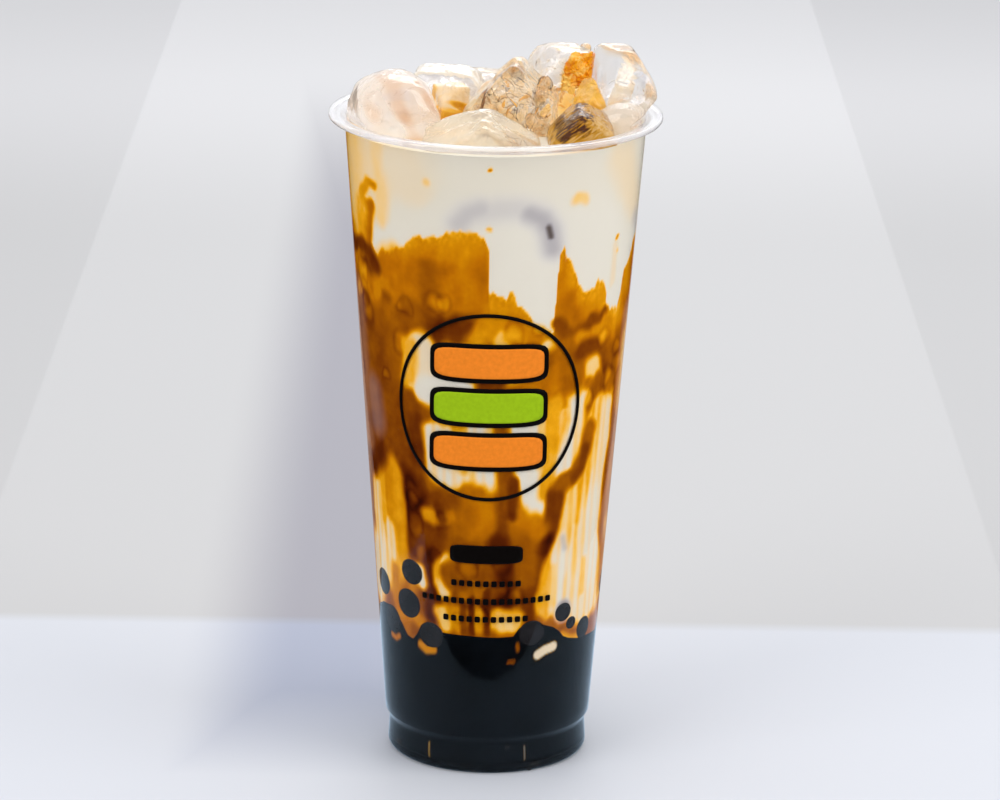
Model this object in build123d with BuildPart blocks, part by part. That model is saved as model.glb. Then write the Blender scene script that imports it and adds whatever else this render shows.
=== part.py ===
"""Brown sugar bubble tea in a tall clear cup: the cup, the drink, the tapioca pearls and the ice.

The cup stands on the XY plane with its axis on +Z, and its front, where the print goes, faces -Y.
Everything is in millimetres. The drink fills what the cup, the pearls and the ice leave free.
"""

import os
from math import cos, pi, radians, sin

from build123d import *

# Cup: a thin moulded beaker with a flat lip, a step at the shoulder and a ring that it stands on.
CUP_HEIGHT = 180.0
LIP_RADIUS = 45.0
LIP_THICK = 1.5
LIP_ROUND = 0.6
WALL = 0.6
FLOOR_THICK = 0.9
BRIM_RADIUS = 40.7  # outside of the wall, just under the lip
SHOULDER_RADIUS = 28.3  # outside of the wall, just above the step
SHOULDER_Z = 11.0
SHOULDER_DROP = 2.2  # height of the step from the wall down to the neck
NECK_RADIUS = 27.1
FOOT_RADIUS = 27.5
FOOT_ROUND = 2.0
RING_WIDTH = 2.4
PUNT_DEPTH = 1.4  # how far the floor is raised inside the ring

# Drink
DRINK_DEPTH = 5.6  # from the top of the lip down to the milk

# Pearls
PEARL_RADIUS = 4.5
PEARL_FILM = 0.3  # thickness of the film of drink between a pearl and the wall
BED_Z = 34.5  # the packed pearls and the syrup round them are solid up to here
BED_CROWN = 1.5  # how far the pearls in the middle of its top lie above those at the wall
BED_UNEVEN = 1.6  # how far neighbours on its top differ in height, up and down
BED_PITCH = 2.15  # distance between those neighbours, in pearl radii

# The pearls that drift above the bed: angle from the front towards +X, and height over the bed in
# pearl radii.
LOOSE_PEARLS = (
    (-43, 5.1),
    (-46, 2.95),
    (-69, 3.8),
    (41, 2.8),
    (86, 3.2),
    (120, 3.55),
    (153, 4.1),
    (178, 3.1),
    (207, 5.1),
    (240, 3.45),
)

# Ice: each block's middle, as shares of the brim's radius and a height over the lip, its size, its
# turns about X, Y and Z, how far its edges have melted round, and the corners broken off it, each
# as the direction that the break faces and its distance from the block's middle.
ICE = {
    "ice_left": (
        (-0.665, -0.2, 0.2), (22, 21, 23), (4, -6, 12), 3.8,
        (((1, 0.3, 1), 11),),
    ),
    "ice_centre": (
        (0.105, 0.0, 1.2), (23, 19, 26), (0, 5, -10), 1.3,
        (((-1, 0.1, 1), 11), ((1, 0.2, 1.2), 14.5), ((0.2, -1, 0.9), 13)),
    ),
    "ice_right_tall": (
        (0.855, 0.1, 4.6), (13, 16, 23.5), (4, -9, 12), 1.6,
        (((1, -0.1, 0.9), 10.5), ((-1, -0.4, 0.7), 10.5)),
    ),
    "ice_front": (
        (-0.08, -0.60, -1.8), (32, 12, 11.5), (-12, 2, 2), 1.5,
        (((-0.5, -0.2, 1), 7), ((0.55, -0.2, 1), 7.3)),
    ),
    "ice_dome": (
        (0.56, -0.46, -1.6), (17, 13, 13), (-6, 5, 12), 3.6,
        (),
    ),
    "ice_back_right": (
        (0.43, 0.44, 2.2), (16, 14, 24), (-4, -5, 16), 1.5,
        (((-1, 0.3, 1.1), 12), ((1, -1, 0.6), 12)),
    ),
    "ice_back_left": (
        (-0.31, 0.48, -1.2), (19, 13, 17), (3, 4, -8), 2.4,
        (((1, 0.4, 1), 11),),
    ),
    "ice_right_low": (
        (0.80, -0.26, -1.6), (12, 11, 12), (4, 8, -20), 1.8,
        (((-1, 0, 1), 7.5),),
    ),
    "ice_small_right": (
        (0.62, -0.05, 1.2), (8, 8, 16), (0, 4, 30), 1.0,
        (((0, -1, 1), 7),),
    ),
    "ice_small_left": (
        (-0.29, 0.10, -1.0), (8, 8, 14), (5, -5, 30), 1.0,
        (((-1, -1, 1), 7),),
    ),
    "ice_back": (
        (0.02, 0.74, -2.0), (18, 12, 14), (-5, 3, 8), 2.0,
        (((0.3, 1, 1), 9),),
    ),
    "ice_back_corner": (
        (0.68, 0.55, -1.6), (14, 12, 14), (5, 6, 40), 1.8,
        (((1, 1, 1), 10),),
    ),
    "ice_far_left": (
        (-0.70, 0.42, -2.0), (13, 12, 13), (4, -6, -35), 2.2,
        (((-1, 0.5, 1), 9),),
    ),
}
ICE_HEADROOM = 40.0  # clear height over the lip that the ice may take
ICE_INSET = 0.6  # the ice stays this far inside the edge of the lip

# Heights and slopes that follow from the sizes above
MILK_Z = CUP_HEIGHT - DRINK_DEPTH
BRIM_Z = CUP_HEIGHT - LIP_THICK
NECK_Z = SHOULDER_Z - SHOULDER_DROP
FLOOR_Z = PUNT_DEPTH + FLOOR_THICK
TAPER = (BRIM_RADIUS - SHOULDER_RADIUS) / (BRIM_Z - SHOULDER_Z)


def wall_inside(z):
    """Inner radius of the tapered wall at a height."""
    return SHOULDER_RADIUS + TAPER * (z - SHOULDER_Z) - WALL


def around(angle, radius, z):
    """The point at an angle from the front of the cup, counted towards +X."""
    return (radius * sin(radians(angle)), -radius * cos(radians(angle)), z)


def cup_space(top_z, over_lip=()):
    """What the cup holds up to a height, and over the lip what an outline there takes in."""
    outline = [(wall_inside(top_z), top_z), *over_lip]
    with BuildPart() as space:
        with BuildSketch(Plane.XZ):
            with BuildLine():
                floor = Line((0, FLOOR_Z), (FOOT_RADIUS - WALL - FOOT_ROUND, FLOOR_Z))
                corner = (FOOT_RADIUS - WALL, FLOOR_Z + FOOT_ROUND)
                bend = TangentArc(floor @ 1, corner, tangent=(1, 0))
                neck = Line(bend @ 1, (NECK_RADIUS - WALL, NECK_Z))
                step = Line(neck @ 1, (SHOULDER_RADIUS - WALL, SHOULDER_Z))
                Polyline(step @ 1, *outline, (0, outline[-1][1]), (0, FLOOR_Z))
            make_face()
        revolve(axis=Axis.Z)
    return space.part


def by_the_wall(z):
    """Distance from the axis to the middle of a pearl that lies at the wall at a height."""
    return wall_inside(z) - PEARL_FILM - PEARL_RADIUS


def bed_middles():
    """Middles of the pearls on top of the bed: rings from the wall inwards, each a little uneven."""
    middles = []
    pitch = BED_PITCH * PEARL_RADIUS
    outermost = by_the_wall(BED_Z - BED_UNEVEN)
    ring_radius = outermost
    while ring_radius > pitch / 2:
        count = int(2 * pi * ring_radius / pitch)
        crown = BED_CROWN * (1 - (ring_radius / outermost) ** 2)
        for n in range(count):
            uneven = BED_UNEVEN * sin(2.4 * n + count)
            middles.append(around(360 * n / count, ring_radius, BED_Z + crown + uneven))
        ring_radius -= pitch
    return middles


def write(part, name):
    part.label = name
    export_step(part, f"parts/{name}.step")


os.makedirs("parts", exist_ok=True)

# The cup: its outer shape, turned round the axis, less the space inside and the raised floor.
inside = cup_space(CUP_HEIGHT)
with BuildPart() as cup:
    with BuildSketch(Plane.XZ):
        with BuildLine():
            foot = Line((0, 0), (FOOT_RADIUS - FOOT_ROUND, 0))
            bend = TangentArc(foot @ 1, (FOOT_RADIUS, FOOT_ROUND), tangent=(1, 0))
            neck = Line(bend @ 1, (NECK_RADIUS, NECK_Z))
            step = Line(neck @ 1, (SHOULDER_RADIUS, SHOULDER_Z))
            side = Line(step @ 1, (BRIM_RADIUS, BRIM_Z))
            Polyline(side @ 1, (LIP_RADIUS, BRIM_Z), (LIP_RADIUS, CUP_HEIGHT), (0, CUP_HEIGHT), (0, 0))
        make_face()
    revolve(axis=Axis.Z)
    lip_edges = cup.edges().filter_by(GeomType.CIRCLE).sort_by(SortBy.RADIUS)[-2:]
    fillet(lip_edges, LIP_ROUND)
    add(inside, mode=Mode.SUBTRACT)
    with BuildSketch(Plane.XY):
        Circle(FOOT_RADIUS - FOOT_ROUND - RING_WIDTH)
    extrude(amount=PUNT_DEPTH, mode=Mode.SUBTRACT)
write(cup.part, "cup")

# The ice: blocks with broken corners and melted edges. They float in the milk and lean on each
# other over the brim, and where two press together the later one has melted to fit.
room = cup_space(
    CUP_HEIGHT,
    [(LIP_RADIUS - ICE_INSET, CUP_HEIGHT), (LIP_RADIUS - ICE_INSET, CUP_HEIGHT + ICE_HEADROOM)],
)
ice = []
for name, (middle, size, turns, melted, breaks) in ICE.items():
    place = Plane(Location((middle[0] * BRIM_RADIUS, middle[1] * BRIM_RADIUS, CUP_HEIGHT + middle[2]), turns))
    with BuildPart() as block:
        with Locations(place.location):
            Box(*size)
        for facing, distance in breaks:
            direction = place.from_local_coords(Vector(*facing).normalized()) - place.origin
            cut = Plane(place.origin + direction * distance, z_dir=direction)
            split(bisect_by=cut, keep=Keep.BOTTOM)
        fillet(block.edges(), melted)
        add(room, mode=Mode.INTERSECT)
        for neighbour in ice:
            add(neighbour, mode=Mode.SUBTRACT)
    ice.append(block.part)
    write(block.part, name)

# The pearls that drift in the milk.
pearls = []
for number, (angle, rise) in enumerate(LOOSE_PEARLS, 1):
    height = BED_Z + rise * PEARL_RADIUS
    with BuildPart() as pearl:
        with Locations(around(angle, by_the_wall(height), height)):
            Sphere(PEARL_RADIUS)
    pearls.append(pearl.part)
    write(pearl.part, f"pearl_{number:02d}")

# The bed that the rest lie packed in, with those on its top standing half out of it.
with BuildPart() as bed:
    add(cup_space(BED_Z))
    with Locations(bed_middles()):
        Sphere(PEARL_RADIUS)
write(bed.part, "pearl_bed")

# The drink: milk and brown sugar syrup round everything else, poured to just under the lip.
with BuildPart() as drink:
    add(cup_space(MILK_Z))
    for sunk in (bed.part, *pearls, *ice):
        add(sunk, mode=Mode.SUBTRACT)
write(drink.part, "drink")
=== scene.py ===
"""Brown sugar bubble tea in a tall clear cup: the looks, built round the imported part.

The cup stands on the floor with its axis on +Z, and its front, where the print goes, faces -Y.
Sizes are written in millimetres and made metres as a mesh is built; only the stage is in metres.
Angles are degrees round the cup, 0 at the front and counted towards +X.
"""

import math
from functools import partial

import bpy
import numpy as np
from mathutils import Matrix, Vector


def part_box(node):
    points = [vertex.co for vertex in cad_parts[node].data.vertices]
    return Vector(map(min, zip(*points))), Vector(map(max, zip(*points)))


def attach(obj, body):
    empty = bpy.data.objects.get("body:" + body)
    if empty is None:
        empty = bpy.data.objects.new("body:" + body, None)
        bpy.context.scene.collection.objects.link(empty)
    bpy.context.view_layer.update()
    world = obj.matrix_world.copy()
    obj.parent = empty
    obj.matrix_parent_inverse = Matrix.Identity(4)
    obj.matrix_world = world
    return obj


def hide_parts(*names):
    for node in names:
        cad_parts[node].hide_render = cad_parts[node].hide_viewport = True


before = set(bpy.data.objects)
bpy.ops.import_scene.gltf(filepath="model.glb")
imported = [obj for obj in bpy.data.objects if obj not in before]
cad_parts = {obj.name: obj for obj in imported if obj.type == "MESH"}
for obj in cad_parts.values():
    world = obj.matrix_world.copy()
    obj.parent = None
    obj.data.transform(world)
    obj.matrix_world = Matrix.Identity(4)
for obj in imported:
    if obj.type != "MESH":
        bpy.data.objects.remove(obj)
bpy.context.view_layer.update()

# ---------------------------------------------------------------------------------------------
# The cup: a thin beaker of clear polypropylene, moulded in one with a hazy lip that the lid film
# is sealed to, a step near the foot where stacked cups rest, and a ring that it stands on.
MM = 0.001
CUP_HEIGHT = 180.0
LIP_THICK = 1.5
BRIM_RADIUS = 40.7
SHOULDER_RADIUS = 28.3
SHOULDER_Z = 11.0
NECK_RADIUS = 27.1
NECK_Z = 8.8
FOOT_RADIUS = 27.5
WALL = 0.6
FLOOR_Z = 2.3
TAPER = (BRIM_RADIUS - SHOULDER_RADIUS) / (CUP_HEIGHT - LIP_THICK - SHOULDER_Z)


def wall_outside(z):
    """Outer radius of the tapered wall: a straight line from the shoulder to the brim."""
    return SHOULDER_RADIUS + TAPER * (z - SHOULDER_Z)


def space_inside(z):
    """Inner radius of the cup at a height, down past the step and round the corner of the floor:
    straight lines between the heights listed."""
    heights = (FLOOR_Z, 2.6, 3.3, 4.3, NECK_Z, SHOULDER_Z, CUP_HEIGHT)
    top = wall_outside(CUP_HEIGHT) - WALL
    radii = (24.9, 26.0, 26.7, 26.9, NECK_RADIUS - WALL, SHOULDER_RADIUS - WALL, top)
    return np.interp(z, heights, radii)


def linear(colour):
    """A colour as seen, 0 to 255 a channel, as linear light: the share of 255 over 12.92 up to
    0.04045, and above that (share + 0.055) / 1.055 to the power 2.4."""
    share = np.asarray(colour, float) / 255
    light = np.where(share <= 0.04045, share / 12.92, ((share + 0.055) / 1.055) ** 2.4)
    return (*light.tolist(), 1.0)


def turned(radii, heights, angles):
    """A profile carried round the axis: the point at (r, z) and angle a is (r sin a, -r cos a, z)."""
    a = np.radians(angles)
    across = np.asarray(radii)[:, None]
    up = np.broadcast_to(np.asarray(heights)[:, None], (across * a).shape)
    return np.stack([across * np.sin(a), -across * np.cos(a), up], -1)


def in_scene(name, data):
    """A new object that holds the data, put in the scene."""
    obj = bpy.data.objects.new(name, data)
    bpy.context.scene.collection.objects.link(obj)
    return obj


def piece(name, grids, materials, slot, nodes=(), rows_join=False, crease=None, **values):
    """A closed skin over one or more grids of points in mm, rows by columns. The columns run round
    and join up. The rows join up too, or end in a pole at the middle of the first and last row.
    A grid that would face inwards has its corners turned round. values are kept as attributes."""
    vertices = []
    corners = []
    totals = []
    kept = {key: [] for key in values}
    for number, points in enumerate(grids):
        rows, columns = points.shape[:2]
        index = np.arange(rows * columns).reshape(rows, columns)
        upper = np.roll(index, -1, 0) if rows_join else index[1:]
        lower = index if rows_join else index[:-1]
        quads = np.stack([lower, np.roll(lower, -1, 1), np.roll(upper, -1, 1), upper], -1)
        quads = quads.reshape(-1, 4)
        flat = points.reshape(-1, 3)
        fans = np.zeros((0, 3), int)
        if not rows_join:
            flat = np.vstack([flat, points[0].mean(0), points[-1].mean(0)])
            first = np.full(columns, rows * columns)
            below = np.stack([first, np.roll(index[0], -1), index[0]], -1)
            above = np.stack([first + 1, index[-1], np.roll(index[-1], -1)], -1)
            fans = np.vstack([below, above])
        triangles = np.vstack([quads[:, :3], quads[:, [0, 2, 3]], fans])
        a, b, c = (flat[triangles[:, k]] for k in range(3))
        if np.einsum("ij,ij->i", a, np.cross(b, c)).sum() < 0:
            quads = quads[:, ::-1]
            fans = fans[:, ::-1]
        start = sum(len(v) for v in vertices)
        vertices.append(flat * MM)
        corners += [quads.ravel() + start, fans.ravel() + start]
        totals += [np.full(len(quads), 4), np.full(len(fans), 3)]
        for key, fields in values.items():
            field = fields[number]
            ends = [] if rows_join else [field[0].mean(), field[-1].mean()]
            kept[key].append(np.concatenate([field.ravel(), ends]))
    mesh = bpy.data.meshes.new(name)
    mesh.vertices.add(sum(len(v) for v in vertices))
    mesh.vertices.foreach_set("co", np.vstack(vertices).astype(np.float32).ravel())
    mesh.loops.add(sum(len(c) for c in corners))
    mesh.loops.foreach_set("vertex_index", np.concatenate(corners).astype(np.int32))
    total = np.concatenate(totals)
    mesh.polygons.add(len(total))
    mesh.polygons.foreach_set("loop_start", (np.cumsum(total) - total).astype(np.int32))
    for key, parts in kept.items():
        attribute = mesh.attributes.new(key, "FLOAT", "POINT")
        attribute.data.foreach_set("value", np.concatenate(parts).astype(np.float32))
    mesh.update(calc_edges=True)
    mesh.polygons.foreach_set("use_smooth", np.ones(len(total), bool))
    if crease:
        mesh.set_sharp_from_angle(angle=math.radians(crease))
    for material in materials:
        mesh.materials.append(material)
    obj = in_scene(name, mesh)
    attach(obj, "root")
    if nodes:
        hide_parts(*nodes)
    return obj


def node_in(tree, kind, inputs=(), **settings):
    """A new node in a tree, its sockets set from values or linked from outputs."""
    node = tree.nodes.new(kind)
    for key, value in settings.items():
        setattr(node, key, value)
    for socket, value in dict(inputs).items():
        if isinstance(value, bpy.types.NodeSocket):
            tree.links.new(value, node.inputs[socket])
        else:
            node.inputs[socket].default_value = value
    return node


def join(source, socket):
    """Links an output to a socket in the same tree."""
    socket.id_data.links.new(source, socket)


def new_material(name, values=()):
    """A material with nodes, its Principled shader with these values set on its own sockets, and a
    function that adds nodes to it."""
    material = bpy.data.materials.new(name)
    material.use_nodes = True
    tree = material.node_tree
    shader = tree.nodes["Principled BSDF"]
    for socket, value in dict(values).items():
        shader.inputs[socket].default_value = value
    return material, shader, partial(node_in, tree)


def own_place(add):
    """The object's own coordinates."""
    return add("ShaderNodeTexCoord").outputs["Object"]


def noise(add, scale, detail, distortion=0.0, place=None):
    """Cloudy noise, 0 to 1, over a place, or over the object's own coordinates."""
    sockets = {"Scale": scale, "Detail": detail, "Distortion": distortion}
    sockets["Vector"] = place or own_place(add)
    return add("ShaderNodeTexNoise", sockets).outputs["Fac"]


def ranged(add, value, low=0.0, high=1.0, to_low=0.0, to_high=1.0, **settings):
    """A value carried over from the range low..high to the range to_low..to_high, and held there."""
    sockets = {"Value": value, "From Min": low, "From Max": high, "To Min": to_low, "To Max": to_high}
    return add("ShaderNodeMapRange", sockets, **settings).outputs[0]


def lets_lamps_through(material, shader, add):
    """Clear stuff throws no black shadow: a shadow ray passes it as if it were not there."""
    tree = material.node_tree
    path = add("ShaderNodeLightPath")
    through = add("ShaderNodeBsdfTransparent", {"Color": (0.93, 0.93, 0.93, 1)})
    sorts = {0: path.outputs["Is Shadow Ray"], 1: shader.outputs[0], 2: through.outputs[0]}
    mix = add("ShaderNodeMixShader", sorts)
    join(mix.outputs[0], tree.nodes["Material Output"].inputs["Surface"])


def moulded_plastic(name, colour, through, scale, detail, least, most):
    """Clear polypropylene whose roughness drifts between least and most from place to place."""
    values = {"Base Color": colour, "IOR": 1.22, "Transmission Weight": through}
    material, shader, add = new_material(name, values)
    join(ranged(add, noise(add, scale, detail), to_low=least, to_high=most), shader.inputs["Roughness"])
    lets_lamps_through(material, shader, add)
    return material


clear_wall = moulded_plastic("clear_wall", (0.98, 0.985, 0.99, 1), 1.0, 60.0, 3.0, 0.03, 0.09)
hazy_lip = moulded_plastic("hazy_lip", (0.93, 0.93, 0.95, 1), 0.8, 110.0, 4.0, 0.08, 0.2)

FOOT_ROUND = 2.0
WALL_TOP_Z = 176.6
LIP_FROM_Z = 177.0
bend = np.radians(np.linspace(0, 90, 9))
side_z = np.linspace(SHOULDER_Z, WALL_TOP_Z, 60)
outside_r = np.concatenate([
    [2, 10, 18, 22.7, 23.1, 23.2, 24.3],
    FOOT_RADIUS - FOOT_ROUND + FOOT_ROUND * np.sin(bend),
    [27.42, 27.3, 27.2, NECK_RADIUS, NECK_RADIUS + 0.03, 27.35, 27.8, 28.15],
    wall_outside(side_z),
])
outside_z = np.concatenate([
    [1.4, 1.4, 1.4, 1.4, 1.2, 0.15, 0],
    FOOT_ROUND - FOOT_ROUND * np.cos(bend),
    [3.2, 5, 7, 8.4, 8.8, 9.4, 10.2, 10.75],
    side_z,
])
lip_r = np.array([
    40.68, 40.85, 41.2, 41.8, 42.5, 43.2, 43.8, 44.3, 44.7, 44.93, 45.0, 44.93, 44.7, 44.3, 43.8,
    43.2, 42.6, 42.0, 41.4, 40.9, 40.5, 40.25, 40.1,
])
lip_z = np.array([
    177.3, 177.9, 178.35, 178.6, 178.68, 178.62, 178.52, 178.5, 178.6, 178.9, 179.25, 179.6, 179.87,
    180.0, 180.0, 179.9, 179.8, 179.76, 179.76, 179.7, 179.5, 179.1, 178.5,
])
down_z = np.linspace(177.3, SHOULDER_Z, 50)
corner_z = np.array([NECK_Z, 6, 4.3, 3.3, 2.6])
inside_r = np.concatenate([wall_outside(down_z) - WALL, space_inside(corner_z)])
inside_z = np.concatenate([down_z, corner_z])
cup_r = np.concatenate([outside_r, lip_r, inside_r, [24.9, 18, 10, 2]])
cup_z = np.concatenate([outside_z, lip_z, inside_z, [FLOOR_Z] * 4])
cup = piece(
    "cup_look", [turned(cup_r, cup_z, np.arange(0, 360, 1.25))], [clear_wall, hazy_lip],
    "clear_plastic", ["cup"], crease=40,
)
high = np.zeros(len(cup.data.polygons) * 3, np.float32)
cup.data.polygons.foreach_get("center", high)
cup.data.polygons.foreach_set("material_index", (high[2::3] > LIP_FROM_Z * MM).astype(np.int32))

# ---------------------------------------------------------------------------------------------
# The milk, with brown sugar syrup that was poured in first and swirled up the wall: it clings
# there in amber curtains, dark pools and pale runs where the milk has washed it down.
SYRUP_EDGE = (
    (-180, 148), (-165, 142), (-152, 151), (-140, 146), (-126, 153), (-112, 149), (-100, 152),
    (-88, 150), (-74, 152), (-66, 151), (-57, 147), (-55, 145.5), (-50, 147), (-45, 146.6),
    (-41, 148.5), (-36, 151), (-34, 153), (-30, 152.6), (-26, 154), (-23, 153.5), (-19, 155),
    (-13, 156), (-8, 155.5), (-4, 154), (-2.1, 151), (-1.5, 139.5), (4.5, 138), (7.6, 139.5),
    (10, 136), (14.5, 133), (17.6, 130), (21, 128.5), (26.6, 127.6), (27.1, 149), (29.5, 151),
    (30.5, 148.5), (33, 146.5), (35, 144), (37, 140.5), (39, 138.5), (42, 137.2), (45, 137.8),
    (47, 139.5), (48.2, 141), (49.5, 139), (52, 138), (54, 136), (54.9, 132), (57, 131.5),
    (60, 130.5), (64, 130), (66, 134), (68, 140), (74, 142.5), (78, 147), (88, 150), (104, 143),
    (118, 152), (130, 141), (146, 147), (160, 139), (172, 150), (180, 148),
)
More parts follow.
